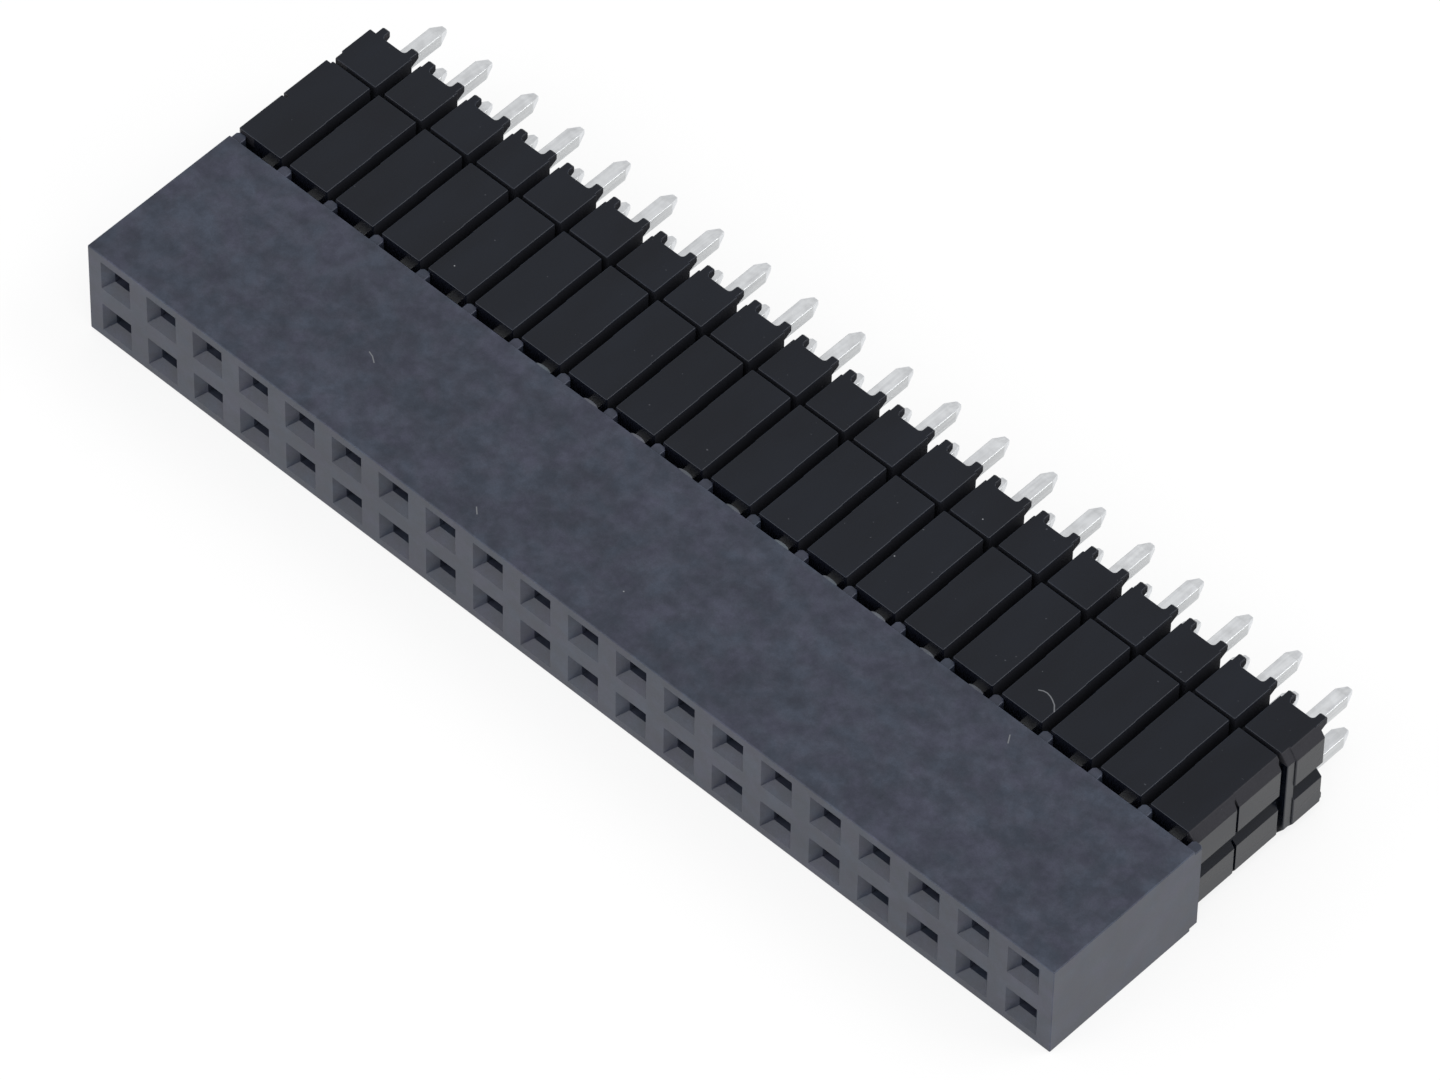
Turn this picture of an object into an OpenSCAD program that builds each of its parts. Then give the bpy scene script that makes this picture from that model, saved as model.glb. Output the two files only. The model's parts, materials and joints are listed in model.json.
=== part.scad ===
// Elevated two-row female pin header strip, lying on its long flat side.
// X runs along the strip, +Y points from the sockets to the solder tails, +Z is up.
// The origin is the middle of the surface that the strip lies on.

/* [Strip] */
// Number of columns; each column has one contact in the upper row and one in the lower row
columns = 20; // [2:1:20]
// Distance between neighbouring columns
pitch = 2.54; // [2.4:0.01:4]
// Distance between the two rows
row_pitch = 2.54; // [2.4:0.01:3]

/* [Socket housing] */
// Height of the housing across the two rows
housing_h = 5.0; // [4.8:0.05:6.5]
// Depth of the housing from its socket face to its recessed rear face
housing_d = 7.92; // [7:0.05:12]
// Plastic past the first and the last column's cell at each end
housing_margin = 0.25; // [0.05:0.05:2]
// How far the rear ribs stand off the rear face
rib_d = 0.5; // [0.2:0.02:1]
// Width of a rear rib where it leaves the housing
rib_w = 0.52; // [0.4:0.02:0.8]
// How far a rear rib's ends stop short of the housing's top and underside
rib_drop = 0.16; // [0.02:0.02:0.3]
// Bevel on the two long edges of a rear rib
rib_bevel = 0.12; // [0.02:0.02:0.18]
// Width of a square socket mouth at the face
mouth_w = 1.6; // [1.2:0.05:2]
// Width of the square throat behind the mouth
throat_w = 0.86; // [0.7:0.02:1.1]
// Depth of the sloping lead-in between mouth and throat
lead_in_d = 0.4; // [0.2:0.02:0.7]
// Thickness of the plastic between the face and a contact cavity
front_wall = 0.95; // [0.8:0.05:2]
// Width and height of a contact cavity
cavity_w = 1.46; // [1.2:0.02:1.7]

/* [Spacers] */
// Height of the three spacers across the two rows
spacer_h = 5.08; // [5:0.02:7]
// Depth of one spacer along the tails
spacer_d = 2.54; // [2:0.02:6]
// Plastic of a spacer past the first and the last column's cell at each end
spacer_margin = 0.02; // [0:0.02:1]
// Width of the slot between two neighbouring cells
slot_w = 0.46; // [0.2:0.02:0.8]
// Depth of the slot between two neighbouring cells
slot_depth = 1.0; // [0.4:0.05:1.4]
// Height of the V notch between the two rows on an end face
notch_h = 0.9; // [0.4:0.02:1.4]
// Width of the bevel on the long outer edges at the last column's end
bevel_w = 0.38; // [0.1:0.02:0.8]
// Height of the bevel on the long outer edges at the last column's end
bevel_h = 0.56; // [0.1:0.02:0.8]
// Depth along Y of the relief on the rear edge of a plain spacer's end faces
relief_d = 0.12; // [0.04:0.02:0.3]
// How far the relief cuts into a plain spacer's end faces
relief_w = 0.24; // [0.1:0.02:0.4]
// Clearance on each side of a tail along X, which lets a loose spacer sit off-centre
side_play = 0.25; // [0.05:0.01:0.3]
// Share of the play by which the front spacer sits towards -X
front_lean = 0.84; // [-0.92:0.02:0.92]
// Share of the play by which the middle spacer sits towards -X
middle_lean = 0.92; // [-0.92:0.02:0.92]
// Share of the play by which the rear spacer sits towards -X
rear_lean = 0.44; // [-0.92:0.02:0.92]
// Gap between the middle and the rear spacer
seam_gap = 0.16; // [0.02:0.02:0.4]
// Depth of the unnotched web along the rear spacer's front edge
web_d = 0.44; // [0.2:0.02:1.2]
// How far the web is set back from the rear spacer's end face
web_step = 0.07; // [0.01:0.01:0.2]
// How far the rear spacer's standoffs reach past its cells
standoff_d = 0.46; // [0.2:0.02:1]
// Width of a standoff
standoff_w = 0.37; // [0.2:0.01:0.6]
// Distance of a standoff from the side of its cell
standoff_inset = 0.06; // [0.02:0.01:0.2]
// Height of a standoff at its foot
standoff_foot_h = 0.64; // [0.4:0.02:0.9]
// Height of a standoff at its tip
standoff_tip_h = 0.38; // [0.2:0.02:0.4]
// Radius of the fillet between a standoff and the rear edge of its cell
standoff_fillet = 0.15; // [0.05:0.01:0.25]
// Bevel at the outer edge of a standoff's tip
standoff_bevel = 0.07; // [0.01:0.01:0.15]

/* [Contacts] */
// Thickness of a square tail
tail_w = 0.64; // [0.4:0.02:0.7]
// How far the tails reach past the standoffs
tail_out = 2.35; // [1:0.05:12]
// Length of the taper at a tail's tip
tip_d = 0.55; // [0.2:0.05:1]
// Width of the blunt end of a tail
tip_w = 0.26; // [0.1:0.02:0.38]
// Clearance above and below a tail in the spacers
tail_fit = 0.02; // [0.01:0.01:0.05]
// Thickness of the spring fingers
finger_t = 0.2; // [0.12:0.01:0.26]
// Height of the sheet metal that the fork is cut from
fork_h = 0.9; // [0.7:0.05:1.15]
// Gap between the two fingers where they grip a pin
grip_gap = 0.42; // [0.3:0.02:0.6]
// Gap between the two fingers at their flared tips
flare_gap = 0.86; // [0.7:0.02:0.9]
// Length of the flared part of the fingers
flare_d = 0.8; // [0.4:0.05:1.2]
// Length of the solid root that holds a fork in its cavity
root_d = 1.3; // [0.6:0.05:2]
// Depth of the empty cavity behind a fork's root
root_setback = 0.35; // [0.1:0.05:0.6]
// Space between the finger tips and the housing's front wall
finger_clearance = 0.15; // [0.05:0.05:0.4]

/* [Hidden] */

// Colours as the photograph shows them
housing_colour = [0.27, 0.29, 0.34];
spacer_colour = [0.13, 0.13, 0.15];
contact_colour = [0.80, 0.81, 0.82];

// Cutters reach this far past the faces that they cut
past = 1;
// Shapes of one moulding or stamping reach this far into each other
bond = 0.25;
// Straight steps along the curved part of a finger
finger_steps = 10;

rows = 2;
mid_z = spacer_h / 2;
cells_l = columns * pitch;
housing_l = cells_l + 2 * housing_margin;
spacer_l = cells_l + 2 * spacer_margin;
rear_body_d = spacer_d - standoff_d;

// Places along Y, from the socket face to the tips of the tails
total_d = housing_d + rib_d + 3 * spacer_d + seam_gap + tail_out;
face_y = -total_d / 2;
housing_rear_y = face_y + housing_d;
front_spacer_y = housing_rear_y + rib_d;
middle_spacer_y = front_spacer_y + spacer_d;
rear_spacer_y = middle_spacer_y + spacer_d + seam_gap;
tail_end_y = rear_spacer_y + spacer_d + tail_out;
cavity_y = face_y + front_wall;
finger_tip_y = cavity_y + finger_clearance;
root_end_y = housing_rear_y - root_setback;
root_y = root_end_y - root_d;

// Row 0 is the lower row and row 1 the upper one; column 0 is at the -X end
function column_x(c) = (c - (columns - 1) / 2) * pitch;
function row_z(r) = mid_z + (r - (rows - 1) / 2) * row_pitch;
function two_digits(n) = str(n < 10 ? "0" : "", n);
function contact_name(r, c) = str(r == 0 ? "contact_lower_" : "contact_upper_", two_digits(c + 1));

spacer_names = ["spacer_front", "spacer_middle", "spacer_rear"];
contact_names = [for (r = [0 : rows - 1], c = [0 : columns - 1]) contact_name(r, c)];

// Puts its children at the middle of each cell, with z = 0 on the row's centreline
module at_cells() {
    for (r = [0 : rows - 1], c = [0 : columns - 1])
        translate([column_x(c), 0, row_z(r)]) children();
}

// Extrudes a profile drawn in X and Z from y = from over the depth d
module along_y(from, d) {
    translate([0, from + d, 0]) rotate([90, 0, 0]) linear_extrude(d) children();
}

// Extrudes a profile drawn in X and Y over the height h, centred on z = 0
module along_z(h) {
    translate([0, 0, -h / 2]) linear_extrude(h) children();
}

// Stands a profile drawn in X and Y on its side, so that its width runs along Z, centred on x = 0
module along_x(w) {
    rotate([0, 90, 0]) along_z(w) children();
}

// Side view of a lead-in and its throat, from in front of the face to inside the cavity
module mouth_profile() {
    polygon([
        [-mouth_w / 2, face_y - past], [mouth_w / 2, face_y - past], [mouth_w / 2, face_y],
        [throat_w / 2, face_y + lead_in_d], [throat_w / 2, cavity_y + past],
        [-throat_w / 2, cavity_y + past], [-throat_w / 2, face_y + lead_in_d], [-mouth_w / 2, face_y]
    ]);
}

// A square mouth that narrows on all four sides
module mouth() {
    intersection() {
        along_z(mouth_w) mouth_profile();
        along_x(mouth_w) mouth_profile();
    }
}

// The square chamber that holds a fork, open at the rear of the housing
module cavity() {
    translate([-cavity_w / 2, cavity_y, -cavity_w / 2])
        cube([cavity_w, housing_rear_y + past - cavity_y, cavity_w]);
}

// Outline of a rear rib seen from above, with y = 0 on the rear face
module rib_profile() {
    polygon([
        [-rib_w / 2, -past], [rib_w / 2, -past], [rib_w / 2, rib_d - rib_bevel],
        [rib_w / 2 - rib_bevel, rib_d], [rib_bevel - rib_w / 2, rib_d], [-rib_w / 2, rib_d - rib_bevel]
    ]);
}

// Ribs between the columns and at both ends, which keep the rear face off the first spacer
module ribs() {
    end_x = housing_l / 2 - rib_w / 2;
    places = concat([-end_x, end_x], [for (c = [1 : columns - 1]) column_x(c) - pitch / 2]);
    for (x = places)
        translate([x, housing_rear_y, mid_z]) along_z(housing_h - 2 * rib_drop) rib_profile();
}

module socket_housing() {
    color(housing_colour) difference() {
        union() {
            translate([-housing_l / 2, face_y, mid_z - housing_h / 2]) cube([housing_l, housing_d, housing_h]);
            ribs();
        }
        at_cells() {
            mouth();
            cavity();
        }
    }
}

// End-on outline of a spacer, set in by inset at both ends, bevelled at the last column's end
module spacer_outline(inset) {
    x = spacer_l / 2 - inset;
    z = spacer_h / 2;
    polygon([[-x, -z], [x - bevel_w, -z], [x, bevel_h - z], [x, z - bevel_h], [x - bevel_w, z], [-x, z]]);
}

// The V notches in both end faces, between the rows
module end_notches() {
    for (side = [-1, 1])
        translate([side * spacer_l / 2, 0]) rotate(45) square(notch_h / sqrt(2), center = true);
}

// The shallow reliefs along the rear edge of both end faces
module end_reliefs() {
    for (side = [-1, 1])
        translate([side * (spacer_l / 2 - relief_w / 2 + past / 2), 0])
            square([relief_w + past, spacer_h + past], center = true);
}

// The slots between the cells, cut into the top and the underside
module slots() {
    for (c = [1 : columns - 1], side = [-1, 1])
        translate([column_x(c) - pitch / 2, side * (spacer_h / 2 - slot_depth / 2 + past / 2)])
            square([slot_w, slot_depth + past], center = true);
}

// The tail holes, wider than they are high
module holes() {
    for (r = [0 : rows - 1], c = [0 : columns - 1])
        translate([column_x(c), row_z(r) - mid_z])
            square([tail_w + 2 * side_play, tail_w + 2 * tail_fit], center = true);
}

// Moves a spacer by its share of the play and up to the middle of the two rows
module seated(lean) {
    translate([-lean * side_play, 0, mid_z]) children();
}

// A spacer's end-on section with the notches, slots and holes cut out
module cell_section() {
    difference() {
        spacer_outline(0);
        end_notches();
        slots();
        holes();
    }
}

module plain_spacer(from, lean) {
    color(spacer_colour) seated(lean) {
        along_y(from, spacer_d - relief_d) cell_section();
        along_y(from + spacer_d - relief_d, relief_d) difference() {
            cell_section();
            end_reliefs();
        }
    }
}

// Side view of a standoff on the upper row: flush on top, sloping underneath, bevelled at its tip
module standoff_profile() {
    polygon([
        [-bond, 0], [standoff_d - standoff_bevel, 0], [standoff_d, -standoff_bevel],
        [standoff_d, -standoff_tip_h], [0, -standoff_foot_h], [-bond, -standoff_foot_h]
    ]);
}

// The concave fillet beside a standoff seen from above, in the corner at x = 0 and y = 0
module fillet_profile() {
    difference() {
        translate([-bond, -bond]) square(standoff_fillet + bond);
        translate([standoff_fillet, standoff_fillet]) circle(standoff_fillet);
    }
}

// A standoff with its fillet, at the +X side of a cell whose middle is x = 0
module standoff() {
    inner_x = (pitch - slot_w) / 2 - standoff_inset - standoff_w;
    translate([inner_x, 0, 0]) rotate([90, 0, 90]) linear_extrude(standoff_w) standoff_profile();
    translate([inner_x, 0, -standoff_foot_h]) mirror([1, 0, 0])
        linear_extrude(standoff_foot_h) fillet_profile();
}

// One standoff at each side of every cell, along the top edge of the rear spacer
module standoffs_on_top() {
    for (c = [0 : columns - 1], side = [0, 1])
        translate([column_x(c), rear_spacer_y + rear_body_d, spacer_h / 2]) mirror([side, 0, 0]) standoff();
}

// The rear spacer: a web without notches, the notched cells and the standoffs along both edges
module spacer_rear() {
    color(spacer_colour) seated(rear_lean) {
        along_y(rear_spacer_y, web_d) difference() {
            spacer_outline(web_step);
            slots();
            holes();
        }
        along_y(rear_spacer_y + web_d, rear_body_d - web_d) cell_section();
        standoffs_on_top();
        mirror([0, 0, 1]) standoffs_on_top();
    }
}

// Half gap between the fingers, from their root (t = 0) to the grip (t = 1) on a smooth curve
function close(t) = let (root = cavity_w / 2 - finger_t)
    root + (grip_gap / 2 - root) * (1 - cos(180 * t)) / 2;
// Half gap between the fingers, from the grip (t = 0) to the flared tip (t = 1)
function flare(t) = grip_gap / 2 + (flare_gap - grip_gap) / 2 * t * t;

// Inner edge of the +X finger, from its root to its tip, as points in X and Y
grip_y = finger_tip_y + flare_d;
finger_edge = concat(
    [for (i = [0 : finger_steps]) let (t = i / finger_steps) [close(t), root_y + (grip_y - root_y) * t]],
    [for (i = [1 : finger_steps]) let (t = i / finger_steps) [flare(t), grip_y - flare_d * t]]
);
finger_points = len(finger_edge);

// One finger: its inner edge, and back along the same curve one thickness further out
module finger() {
    polygon(concat(
        [[close(0), root_y + bond]],
        finger_edge,
        [for (i = [1 : finger_points]) finger_edge[finger_points - i] + [finger_t, 0]],
        [[close(0) + finger_t, root_y + bond]]
    ));
}

// The fork seen from above: two fingers on a root as wide as the cavity
module fork() {
    along_z(fork_h) {
        finger();
        mirror([1, 0]) finger();
        translate([-cavity_w / 2, root_y]) square([cavity_w, root_d]);
    }
}

// Outline of a tail from the fork's root to its tapered tip
module tail_profile() {
    polygon([
        [-tail_w / 2, root_end_y - root_d / 2], [tail_w / 2, root_end_y - root_d / 2],
        [tail_w / 2, tail_end_y - tip_d], [tip_w / 2, tail_end_y],
        [-tip_w / 2, tail_end_y], [-tail_w / 2, tail_end_y - tip_d]
    ]);
}

module tail() {
    intersection() {
        along_z(tail_w) tail_profile();
        along_x(tail_w) tail_profile();
    }
}

// One-piece contact: a fork in the housing and a long square tail through the three spacers
module contact(r, c) {
    color(contact_colour) translate([column_x(c), 0, row_z(r)]) {
        fork();
        tail();
    }
}

socket_housing();
plain_spacer(front_spacer_y, front_lean);  // spacer_front
plain_spacer(middle_spacer_y, middle_lean);  // spacer_middle
spacer_rear();
for (r = [0 : rows - 1], c = [0 : columns - 1])
    contact(r, c);
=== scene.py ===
"""Looks of an elevated two-row female header strip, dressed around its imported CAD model.

Everything is in metres in the CAD frame: +X along the strip, +Y towards the solder tails, +Z up.
"""

import json
import math

import bmesh
import bpy
from mathutils import Matrix, Vector

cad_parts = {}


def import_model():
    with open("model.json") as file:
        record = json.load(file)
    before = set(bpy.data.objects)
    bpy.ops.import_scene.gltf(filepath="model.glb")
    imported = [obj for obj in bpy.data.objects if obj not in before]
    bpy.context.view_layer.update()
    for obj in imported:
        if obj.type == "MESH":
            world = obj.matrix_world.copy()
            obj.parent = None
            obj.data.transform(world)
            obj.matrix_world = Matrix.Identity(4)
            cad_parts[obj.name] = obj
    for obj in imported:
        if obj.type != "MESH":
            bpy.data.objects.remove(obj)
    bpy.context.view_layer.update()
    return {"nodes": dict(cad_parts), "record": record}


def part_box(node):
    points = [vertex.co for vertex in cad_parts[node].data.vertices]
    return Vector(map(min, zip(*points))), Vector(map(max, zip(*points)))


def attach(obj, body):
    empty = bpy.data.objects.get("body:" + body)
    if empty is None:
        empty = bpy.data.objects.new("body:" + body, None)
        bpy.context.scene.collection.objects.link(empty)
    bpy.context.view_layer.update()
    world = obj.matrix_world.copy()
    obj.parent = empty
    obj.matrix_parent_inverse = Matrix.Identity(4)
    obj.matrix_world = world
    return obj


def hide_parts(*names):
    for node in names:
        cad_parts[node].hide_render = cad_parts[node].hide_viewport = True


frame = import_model()

MM = 0.001

# Camera, in the CAD frame: place, viewing direction and up vector, the lens on a 36 mm wide sensor, and the
# nearest and furthest that it sees
CAMERA_PLACE = (0.194504, -0.213186, 0.361077)
CAMERA_LOOK = (-0.421319, 0.461319, -0.780817)
CAMERA_UP = (-0.541585, 0.562606, 0.624628)
LENS_MM = 296.27
SENSOR_MM = 36.0
CAMERA_CLIP = (0.01, 10.0)

# Rounding of the moulded and stamped edges, its steps, and the least bend between two faces that gets it.
# Facets that bend less than FLAT_ANGLE are one face, and points nearer than WELD_DISTANCE are one point
EDGE_RADIUS = {"housing": 0.045 * MM, "spacer": 0.055 * MM, "contact": 0.045 * MM}
EDGE_STEPS = 2
EDGE_ANGLE = math.radians(60)
FLAT_ANGLE = math.radians(0.5)
WELD_DISTANCE = 1e-6
# Two spacers are pressed together: the side of each, -1 or 1 along Y, whose outline stays sharp
PRESSED_SIDE = {"spacer_front": 1, "spacer_middle": -1}

# The columns of contacts and the heights of the top faces, in millimetres
COLUMNS, PITCH = 20, 2.54
HOUSING_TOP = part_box("socket_housing")[1].z / MM
SPACER_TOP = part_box("spacer_front")[1].z / MM

# Dust on the top faces, in millimetres: fibres as points along their length, and single specks
HOUSING_FIBRES = [
    [(-13.887, -5.479), (-13.645, -5.555), (-13.384, -5.738)],
    [(-5.491, -8.159), (-5.236, -8.394)],
    [(17.043, -2.429), (16.838, -2.093)],
]
HOUSING_SPECKS = [(1.462, -7.23)]
SPACER_FIBRES = [
    [(16.185, 0.243), (16.348, 0.333), (16.526, 0.363), (16.719, 0.321), (16.888, 0.249), (17.103, 0.121),
     (17.321, -0.13)],
]
SPACER_SPECKS = [(-14.524, -0.063), (9.006, 4.915), (7.786, 1.223), (-7.366, 4.376)]
FIBRE_RADIUS = 0.024 * MM
SPECK_RADIUS = 0.03 * MM
# Shares of that radius at which such a mark starts to fade and has gone
MARK_FADE = (0.7, 1.3)

# Where a spacer's look changes, as the start and the end of each change. From its middle up and down: past
# the lower and past the upper edges of its end bevels, and into its flat top and underside
BEVEL_FOOT = (1.97 * MM, 2.00 * MM)
BEVEL_HEAD = (2.50 * MM, 2.52 * MM)
FLAT_FACE = (2.46 * MM, 2.52 * MM)
# From the middle of the strip towards its ends: into the bevels and into the flat ends
BEVEL_START = (24.78 * MM, 24.81 * MM)
END_FACE = (24.8 * MM, 24.9 * MM)
# From the front spacer's front face, which mirrors the tails; and from a contact's axis into its sides, which
# get a painted shade
FRONT_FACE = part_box("spacer_front")[0].y
FRONT_SKIN = (0.03 * MM, 0.06 * MM)
PIN_SIDES = (0.28 * MM, 0.31 * MM)

# Small rounded lips on the top edge of the housing's rear face, at the columns where the photograph shows
# them, in millimetres: the middle from the contact's axis and above the floor, the half sizes, how far the
# ribs stand out behind that face, and the segments round a lip and from top to bottom
# The lips' lighter shade is a painted highlight, and they stand only at the columns where that highlight
# shows
LIP_COLUMNS = range(6, 16)
LIP_OFFSET, LIP_Z = 0.41, 4.985
LIP_SIZE = (0.38, 0.13, 0.05)
RIB_DEPTH = 0.5
LIP_SEGMENTS = (24, 12)

# Colours in display values, 0 to 255: the darker and the lighter clouds of each material
SHADES = {
    "housing": ((45, 49, 61), (54, 58, 71)),
    "spacer": ((9, 13, 22), (13, 18, 28)),
    "contact": ((232, 234, 237), (246, 248, 250)),
}
# A spacer's slots and its end bevels, both duller than its polished top, underside and ends. Their colours
# are painted light: lighter than the black plastic, they stand in for the light in the slots and on the
# bevels
SLOT_PAINTED_LIGHT = (20, 22, 30)
BEVEL_PAINTED_LIGHT = (43, 43, 48)
# Fine dust on a spacer, and the lint fibres and dust specks on the top faces
DUST_SHADE = (66, 68, 74)
LINT_SHADE = (104, 106, 110)
SPECK_SHADE = (128, 130, 134)
# Share of its shine that a contact keeps on its sides: a painted shade that darkens them
PAINTED_SIDE_SHADE = (0.82, 0.82, 0.81, 1)

# Lifts make a shade lighter, channel by channel, as the photograph shows the rounded edges and the lips; on
# those edges and lips the lift is a painted highlight
FACE_LIFT = (1.0, 1.0, 1.0)
EDGE_HIGHLIGHT_LIFT = {"housing": (1.14, 1.14, 1.14), "spacer": (1.3, 1.3, 1.3), "contact": (1.0, 1.0, 1.0)}
LIP_HIGHLIGHT_LIFT = (1.48, 1.45, 1.28)

# Roughness of each material at the low and the high end of the noise that varies it
NOISE_RANGE = (0.3, 0.7)
ROUGHNESS = {"housing": (0.34, 0.44), "spacer": (0.80, 0.88), "contact": (0.42, 0.54)}
# What polish takes off it on a spacer's outer faces and on the front one's front face, and the least left
OUTER_POLISH, FRONT_POLISH, LEAST_ROUGHNESS = 0.56, 0.72, 0.08

# Lamps, all square and facing the origin: place, size and power; and the world's strength
LAMPS = {
    "key": ((0.10, -0.25, 0.75), 0.6, 1.6),
    "rim": ((0.25, 0.23, 0.365), 0.25, 0.65),
    "right": ((0.45, -0.20, 0.20), 0.3, 0.4),
    "front": ((-0.21, -0.39, 0.23), 0.3, 0.55),
}
WORLD_STRENGTH = 0.65
# Share of the floor that is plain white to the camera and in reflections, and the tone of the rest, which
# takes the shadow; the floor's half side, and how far it lies under the part
WHITE_SHARE, FLOOR_TONE = 0.8, 0.93
FLOOR_HALF, FLOOR_DROP = 3.0, 0.00001


def linear(r, g, b):
    """A colour in display values, 0 to 255, as linear light."""
    def channel(c):
        c /= 255
        return c / 12.92 if c <= 0.04045 else ((c + 0.055) / 1.055) ** 2.4
    return (channel(r), channel(g), channel(b), 1.0)


def lifted(shade, lift):
    """A shade in display values, made lighter channel by channel, as linear light."""
    return linear(*(value * share for value, share in zip(shade, lift)))


def grey(value):
    """A colour with three equal channels, as linear light."""
    return (value, value, value, 1)


class Nodes:
    """A new node material, with short calls to add nodes and join them."""

    def __init__(self, name):
        self.material = bpy.data.materials.new(name)
        self.material.use_nodes = True
        self.tree = self.material.node_tree
        self.tree.nodes.clear()
        self.output = self.tree.nodes.new("ShaderNodeOutputMaterial")

    def add(self, kind, **values):
        """Adds a node; a value named after a property sets it, and any other one sets a socket."""
        node = self.tree.nodes.new("ShaderNode" + kind)
        for key, value in values.items():
            if hasattr(node, key):
                setattr(node, key, value)
            else:
                node.inputs[key.replace("_", " ")].default_value = value
        return node

    def join(self, source, target):
        self.tree.links.new(source, target)

    def feed(self, value, target):
        """Joins a socket to the target, or sets the target to a constant."""
        if isinstance(value, bpy.types.NodeSocket):
            self.join(value, target)
        else:
            target.default_value = value

    def noise(self, where, scale, detail=2.0, roughness=0.5):
        node = self.add("TexNoise", Scale=scale, Detail=detail, Roughness=roughness)
        self.join(where, node.inputs["Vector"])
        return node.outputs["Fac"]

    def ramp(self, factor, stops):
        """A colour ramp through (place, colour) stops."""
        node = self.add("ValToRGB")
        elements = node.color_ramp.elements
        while len(elements) < len(stops):
            elements.new(0.5)
        for element, (place, colour) in zip(elements, stops):
            element.position = place
            element.color = colour
        self.join(factor, node.inputs["Fac"])
        return node.outputs["Color"]

    def span(self, factor, source, target):
        """Maps factor from the source range to the target range, held at both ends."""
        node = self.add("MapRange")
        for socket, value in zip(("From Min", "From Max", "To Min", "To Max"), (*source, *target)):
            node.inputs[socket].default_value = value
        self.join(factor, node.inputs["Value"])
        return node.outputs["Result"]

    def rise(self, factor, change):
        """0 before the change and 1 after it."""
        return self.span(factor, change, (0.0, 1.0))

    def fall(self, factor, change):
        """1 before the change and 0 after it."""
        return self.span(factor, change, (1.0, 0.0))

    def blend(self, factor, first, second, mode="MIX"):
        """Mixes two colours, each a socket or a constant."""
        node = self.add("Mix", data_type="RGBA", blend_type=mode)
        # The node has a pair of sockets for each data type; these are the colours' own
        for value, socket in ((factor, node.inputs[0]), (first, node.inputs[6]), (second, node.inputs[7])):
            self.feed(value, socket)
        return node.outputs[2]

    def tinted(self, colour, *tones):
        """The colour times each of the tones."""
        for tone in tones:
            colour = self.blend(1.0, colour, tone, "MULTIPLY")
        return colour

    def bump(self, height, depth, strength, under=None):
        """A surface bumped by a height, on top of another bumped surface if one is given."""
        node = self.add("Bump", Distance=depth, Strength=strength)
        self.join(height, node.inputs["Height"])
        if under is not None:
            self.join(under, node.inputs["Normal"])
        return node.outputs["Normal"]

    def place(self, stretch=(1, 1, 1)):
        """Object coordinates in metres, stretched along each axis."""
        node = self.add("Mapping")
        node.inputs["Scale"].default_value = stretch
        self.join(self.add("TexCoord").outputs["Object"], node.inputs["Vector"])
        return node.outputs["Vector"]

    def compute(self, operation, first, second=0.0):
        """One sum on two values, each a socket or a number; some operations use the first alone."""
        node = self.add("Math", operation=operation)
        self.feed(first, node.inputs[0])
        self.feed(second, node.inputs[1])
        return node.outputs[0]

    def axis(self, where, name, middle=0.0):
        """Distance of the place from a plane across one axis."""
        place = self.add("SeparateXYZ")
        self.join(where, place.inputs[0])
        return self.compute("ABSOLUTE", self.compute("SUBTRACT", place.outputs[name], middle))

    def most(self, first, second):
        """The greater of two values."""
        return self.compute("MAXIMUM", first, second)

    def times(self, first, second):
        """The product of two values."""
        return self.compute("MULTIPLY", first, second)

    def polished(self, roughness, mask, polish):
        """A roughness less the polish where the mask is 1, and never a perfect mirror."""
        held = (LEAST_ROUGHNESS, 1.0)
        return self.span(self.compute("SUBTRACT", roughness, self.times(mask, polish)), held, held)

    def near(self, where, lines, radius):
        """1 close to lines of points, and 0 a little past the radius; a line may be one point."""
        found = None
        for points in lines:
            for start, end in zip(points, points[1:] or points):
                distance = self.distance(where, Vector(start), Vector(end))
                mask = self.fall(distance, [share * radius for share in MARK_FADE])
                found = mask if found is None else self.most(found, mask)
        return found

    def distance(self, where, start, end):
        """Distance from the place to the straight line between two points."""
        along = end - start
        offset = self.vectors("SUBTRACT", where, start).outputs["Vector"]
        per_length = along / max(along.length_squared, WELD_DISTANCE ** 2)
        reach = self.vectors("DOT_PRODUCT", offset, per_length).outputs["Value"]
        foot = self.add("VectorMath", operation="SCALE")
        foot.inputs[0].default_value = along
        self.join(self.rise(reach, (0.0, 1.0)), foot.inputs["Scale"])
        return self.vectors("DISTANCE", offset, foot.outputs["Vector"]).outputs["Value"]

    def vectors(self, operation, first, second):
        """A node for one sum on two vectors, each a socket or a constant."""
        node = self.add("VectorMath", operation=operation)
        self.feed(first, node.inputs[0])
        self.feed(second, node.inputs[1])
        return node

    def finish(self, colour, roughness, normal, **constants):
        """The material, with one glossy shader; a constant sets the socket of its name."""
        shader = self.add("BsdfPrincipled")
        for key, value in constants.items():
            shader.inputs[key].default_value = value
        self.join(colour, shader.inputs["Base Color"])
        self.join(roughness, shader.inputs["Roughness"])
        self.join(normal, shader.inputs["Normal"])
        self.join(shader.outputs["BSDF"], self.output.inputs["Surface"])
        return self.material


def on_top(lines, height):
    """Lines of points (x, y) in millimetres, as places in metres at a height in millimetres."""
    return [[Vector((x, y, height)) * MM for x, y in line] for line in lines]


def dusty(n, where, colour, fibres, specks, height):
    """Adds lint fibres and dust specks to the colour of a top face."""
    lint = n.near(where, on_top(fibres, height), FIBRE_RADIUS)
    grains = n.near(where, on_top([[speck] for speck in specks], height), SPECK_RADIUS)
    return n.blend(grains, n.blend(lint, colour, linear(*LINT_SHADE)), linear(*SPECK_SHADE))


def cloudy(n, noise, slot, lift, change=NOISE_RANGE):
    """A slot's base colour: its darker shade where the noise is low, and its lighter one where it is high."""
    return n.ramp(noise, [(place, lifted(shade, lift)) for place, shade in zip(change, SHADES[slot])])


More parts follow.
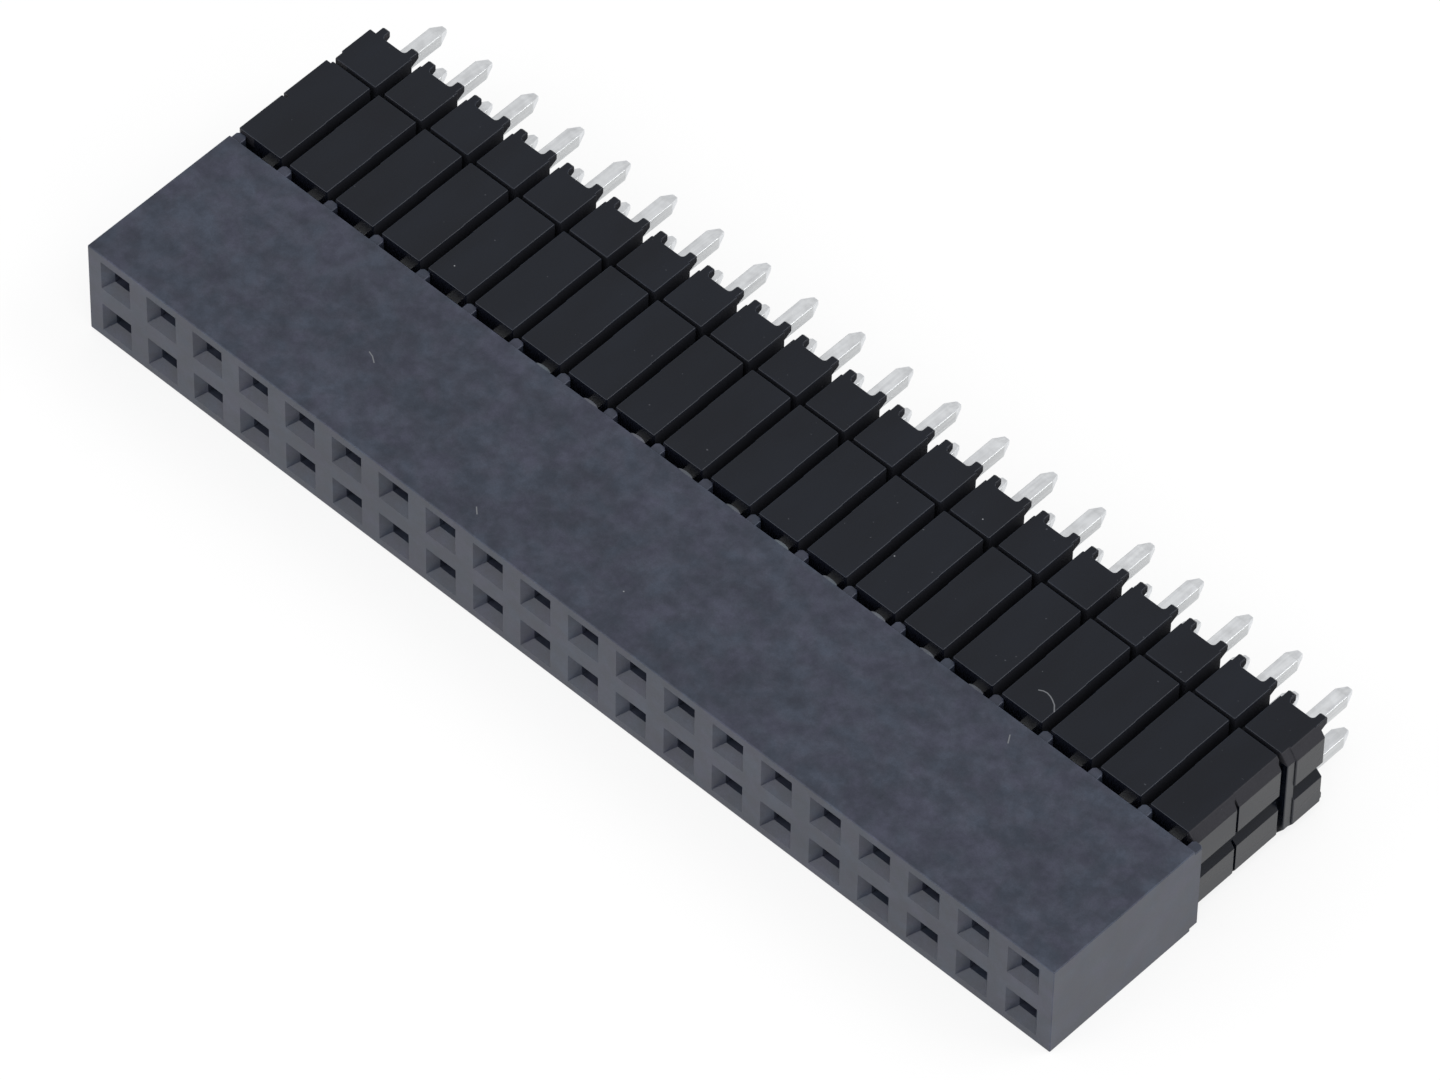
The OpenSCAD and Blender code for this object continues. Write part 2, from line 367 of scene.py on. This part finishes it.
def housing_material(name, lift):
    """Dark blue-grey glass-filled plastic: cloudy flow marks, a fine grain and a satin skin."""
    n = Nodes(name)
    where = n.place()
    flow = n.noise(n.place(stretch=(0.45, 1.0, 1.0)), scale=420, detail=3.0, roughness=0.6)
    cloud = n.noise(where, scale=1300, detail=3.0, roughness=0.6)
    tint = n.noise(n.place(stretch=(1.0, 1.0, 1.4)), scale=900)
    grain = n.noise(where, scale=16000, roughness=0.6)
    patches = n.ramp(cloud, [(0.34, (0.76, 0.78, 0.80, 1)), (0.5, grey(1.0)), (0.66, (1.28, 1.27, 1.25, 1))])
    tints = n.ramp(tint, [(0.36, (0.95, 1.03, 1.04, 1)), (0.5, grey(1.0)), (0.64, (1.04, 0.98, 1.03, 1))])
    specks = n.ramp(grain, [(0.3, grey(0.88)), (0.7, grey(1.10))])
    colour = n.tinted(cloudy(n, flow, "housing", lift, (0.32, 0.68)), patches, specks, tints)
    colour = dusty(n, where, colour, HOUSING_FIBRES, HOUSING_SPECKS, HOUSING_TOP)
    fine = n.bump(grain, depth=0.0022 * MM, strength=0.5)
    skin = n.bump(cloud, depth=0.004 * MM, strength=0.35, under=fine)
    return n.finish(colour, n.span(cloud, NOISE_RANGE, ROUGHNESS["housing"]), skin, IOR=1.42)


def spacer_zones(n, where):
    """Two masks: a spacer's polished top, underside and ends, and its end bevels."""
    height = n.axis(where, "Z", SPACER_TOP * MM / 2)
    along = n.axis(where, "X")
    ends = n.times(n.rise(along, END_FACE), n.fall(height, BEVEL_FOOT))
    slope = n.times(n.rise(height, BEVEL_FOOT), n.fall(height, BEVEL_HEAD))
    return n.most(n.rise(height, FLAT_FACE), ends), n.times(slope, n.rise(along, BEVEL_START))


def spacer_material(name, lift):
    """Black moulded plastic with faint flow lines and fine dust, dull in its slots and on its end bevels,
    where lighter colours are painted light.
    """
    n = Nodes(name)
    where = n.place()
    flow = n.noise(n.place(stretch=(1.0, 0.4, 1.0)), scale=500)
    grain = n.noise(where, scale=14000, roughness=0.6)
    specks = n.ramp(grain, [(0.3, grey(0.85)), (0.72, grey(1.15))])
    dust = n.ramp(n.noise(where, scale=5200, detail=1.0), [(0.79, grey(0)), (0.83, grey(1))])
    outer, bevel = spacer_zones(n, where)
    # Painted light: lighter colours in the slots and on the end bevels
    colour = n.blend(outer, linear(*SLOT_PAINTED_LIGHT), cloudy(n, flow, "spacer", lift))
    colour = n.tinted(n.blend(bevel, colour, linear(*BEVEL_PAINTED_LIGHT)), specks)
    colour = n.blend(dust, colour, linear(*DUST_SHADE))
    colour = dusty(n, where, colour, SPACER_FIBRES, SPACER_SPECKS, SPACER_TOP)
    front = n.fall(n.axis(where, "Y", FRONT_FACE), FRONT_SKIN)
    roughness = n.polished(n.span(flow, NOISE_RANGE, ROUGHNESS["spacer"]), outer, OUTER_POLISH)
    roughness = n.polished(roughness, front, FRONT_POLISH)
    skin = n.bump(grain, depth=0.0016 * MM, strength=0.4)
    return n.finish(colour, roughness, skin, IOR=1.37)


def contact_material(name, lift):
    """Bright tin plate with drawing lines along the pin, softly uneven gloss, and a painted shade that
    darkens its sides.
    """
    n = Nodes(name)
    where = n.place()
    lines = n.noise(n.place(stretch=(1.0, 0.05, 1.0)), scale=7000)
    cloud = n.noise(where, scale=2500)
    tarnish = n.ramp(cloud, [(0.3, grey(0.87)), (0.6, grey(0.94))])
    half = PITCH / 2 * MM
    off_axis = n.compute("SUBTRACT", half, n.compute("PINGPONG", n.axis(where, "X"), half))
    shine = cloudy(n, lines, "contact", lift)
    # Painted shade: the sides are darker than the top and the underside
    shine = n.blend(n.rise(off_axis, PIN_SIDES), shine, n.tinted(shine, PAINTED_SIDE_SHADE))
    roughness = n.span(cloud, NOISE_RANGE, ROUGHNESS["contact"])
    skin = n.bump(lines, depth=0.0006 * MM, strength=0.3)
    return n.finish(n.tinted(shine, tarnish), roughness, skin, Metallic=1.0)


MAKERS = {"housing": housing_material, "spacer": spacer_material, "contact": contact_material}


def placed(name, data):
    """A new object that shows the data, linked into the scene."""
    obj = bpy.data.objects.new(name, data)
    bpy.context.scene.collection.objects.link(obj)
    return obj


def mark_edges(form, node):
    """Marks for rounding each sharp outer edge, but not where two spacers are pressed together."""
    weight = form.edges.layers.float.new("bevel_weight_edge")
    side = PRESSED_SIDE.get(node, 0)
    far = max(side * v.co.y for v in form.verts)
    for edge in form.edges:
        pressed = side and all(side * v.co.y > far - WELD_DISTANCE for v in edge.verts)
        sharp = len(edge.link_faces) == 2 and edge.is_convex and edge.calc_face_angle() > EDGE_ANGLE
        edge[weight] = 1.0 if sharp and not pressed else 0.0


def rounded(node, slot, materials):
    """Replaces a CAD node by a copy with its facets joined and its edges truly rounded.

    The first of the materials is for its faces and the second for the rounding, where a lighter shade paints
    a highlight on the plastic parts.
    """
    mesh = bpy.data.meshes.new(node + "_look")
    form = bmesh.new()
    form.from_mesh(frame["nodes"][node].data)
    bmesh.ops.remove_doubles(form, verts=form.verts, dist=WELD_DISTANCE)
    bmesh.ops.dissolve_limit(form, angle_limit=FLAT_ANGLE, verts=form.verts, edges=form.edges)
    mark_edges(form, node)
    form.to_mesh(mesh)
    form.free()
    for material in materials:
        mesh.materials.append(material)
    for polygon in mesh.polygons:
        polygon.material_index = 0
    piece = placed(node + "_look", mesh)
    bevel = piece.modifiers.new("rounding", "BEVEL")
    bevel.width = EDGE_RADIUS[slot]
    bevel.segments = EDGE_STEPS
    bevel.limit_method = "WEIGHT"
    bevel.use_clamp_overlap = False
    bevel.material = 1
    bevel.harden_normals = True
    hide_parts(node)
    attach(piece, "root")


def lips(material):
    """The lips along the housing's rear edge, as one mesh of flattened balls half sunk in the housing."""
    rear_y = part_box("socket_housing")[1].y / MM - RIB_DEPTH
    around, down = LIP_SEGMENTS
    form = bmesh.new()
    for column in LIP_COLUMNS:
        x = (column - (COLUMNS - 1) / 2) * PITCH + LIP_OFFSET
        place = Matrix.Translation((x, rear_y, LIP_Z)) @ Matrix.Diagonal((*LIP_SIZE, 1.0))
        bmesh.ops.create_uvsphere(form, u_segments=around, v_segments=down, radius=1.0, matrix=place)
    bmesh.ops.scale(form, vec=(MM, MM, MM), verts=form.verts)
    for face in form.faces:
        face.smooth = True
    mesh = bpy.data.meshes.new("housing_lips")
    form.to_mesh(mesh)
    form.free()
    mesh.materials.append(material)
    piece = placed("housing_lips", mesh)
    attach(piece, "root")


def dress_nodes():
    """Gives every CAD node its rounded look and its materials, and adds the lips."""
    slots = {part["node"]: part["material_slot"] for part in frame["record"]["subparts"]}
    # Each slot's second material is lifted lighter for the rounded edges: a painted highlight on the housing
    # and the spacers
    made = {slot: (make(slot, FACE_LIFT), make(slot + "_edge", EDGE_HIGHLIGHT_LIFT[slot]))
            for slot, make in MAKERS.items()}
    for node, slot in slots.items():
        rounded(node, slot, made[slot])
    # The lips get a lighter shade of the housing: a painted highlight
    lips(housing_material("housing_lip", LIP_HIGHLIGHT_LIFT))


def camera():
    """The photograph's view of the object."""
    data = bpy.data.cameras.new("camera")
    data.lens = LENS_MM
    data.sensor_width = SENSOR_MM
    data.sensor_fit = "HORIZONTAL"
    data.clip_start, data.clip_end = CAMERA_CLIP
    obj = placed("camera", data)
    back = -Vector(CAMERA_LOOK).normalized()
    right = Vector(CAMERA_UP).cross(back).normalized()
    up = back.cross(right)
    turn = Matrix((right, up, back)).transposed()
    obj.matrix_world = Matrix.Translation(CAMERA_PLACE) @ turn.to_4x4()
    bpy.context.scene.camera = obj


def area_light(name, place, size, power):
    """A soft square lamp at place, facing the origin."""
    data = bpy.data.lights.new(name, "AREA")
    data.size = size
    data.energy = power
    obj = placed(name, data)
    obj.location = place
    obj.rotation_euler = (-Vector(place)).to_track_quat("-Z", "Y").to_euler()


def seen_directly(n):
    """1 for rays from the camera and for reflections, which see the white background."""
    path = n.add("LightPath").outputs
    return n.most(n.most(path["Is Camera Ray"], path["Is Glossy Ray"]), path["Is Transmission Ray"])


def floor():
    """A pale floor that looks white and keeps a soft shadow of the object."""
    mesh = bpy.data.meshes.new("floor")
    corners = [(x * FLOOR_HALF, y * FLOOR_HALF, 0.0) for x, y in ((-1, -1), (1, -1), (1, 1), (-1, 1))]
    mesh.from_pydata(corners, [], [(0, 1, 2, 3)])
    obj = placed("floor", mesh)
    obj.location.z = -FLOOR_DROP
    n = Nodes("floor")
    diffuse = n.add("BsdfDiffuse", Color=grey(FLOOR_TONE))
    white = n.add("Emission", Color=grey(1), Strength=1.0)
    mix = n.add("MixShader")
    n.join(n.times(seen_directly(n), WHITE_SHARE), mix.inputs[0])
    n.join(diffuse.outputs[0], mix.inputs[1])
    n.join(white.outputs[0], mix.inputs[2])
    n.join(mix.outputs[0], n.output.inputs["Surface"])
    mesh.materials.append(n.material)


def world():
    """Even white light from all sides."""
    scene_world = bpy.data.worlds.new("studio")
    bpy.context.scene.world = scene_world
    scene_world.use_nodes = True
    background = scene_world.node_tree.nodes["Background"]
    background.inputs["Color"].default_value = grey(1)
    background.inputs["Strength"].default_value = WORLD_STRENGTH


def studio():
    """The floor, the world and the lamps."""
    floor()
    world()
    for name, (place, size, power) in LAMPS.items():
        area_light(name, place, size, power)


camera()
dress_nodes()
studio()
bpy.context.scene.view_settings.view_transform = "Standard"
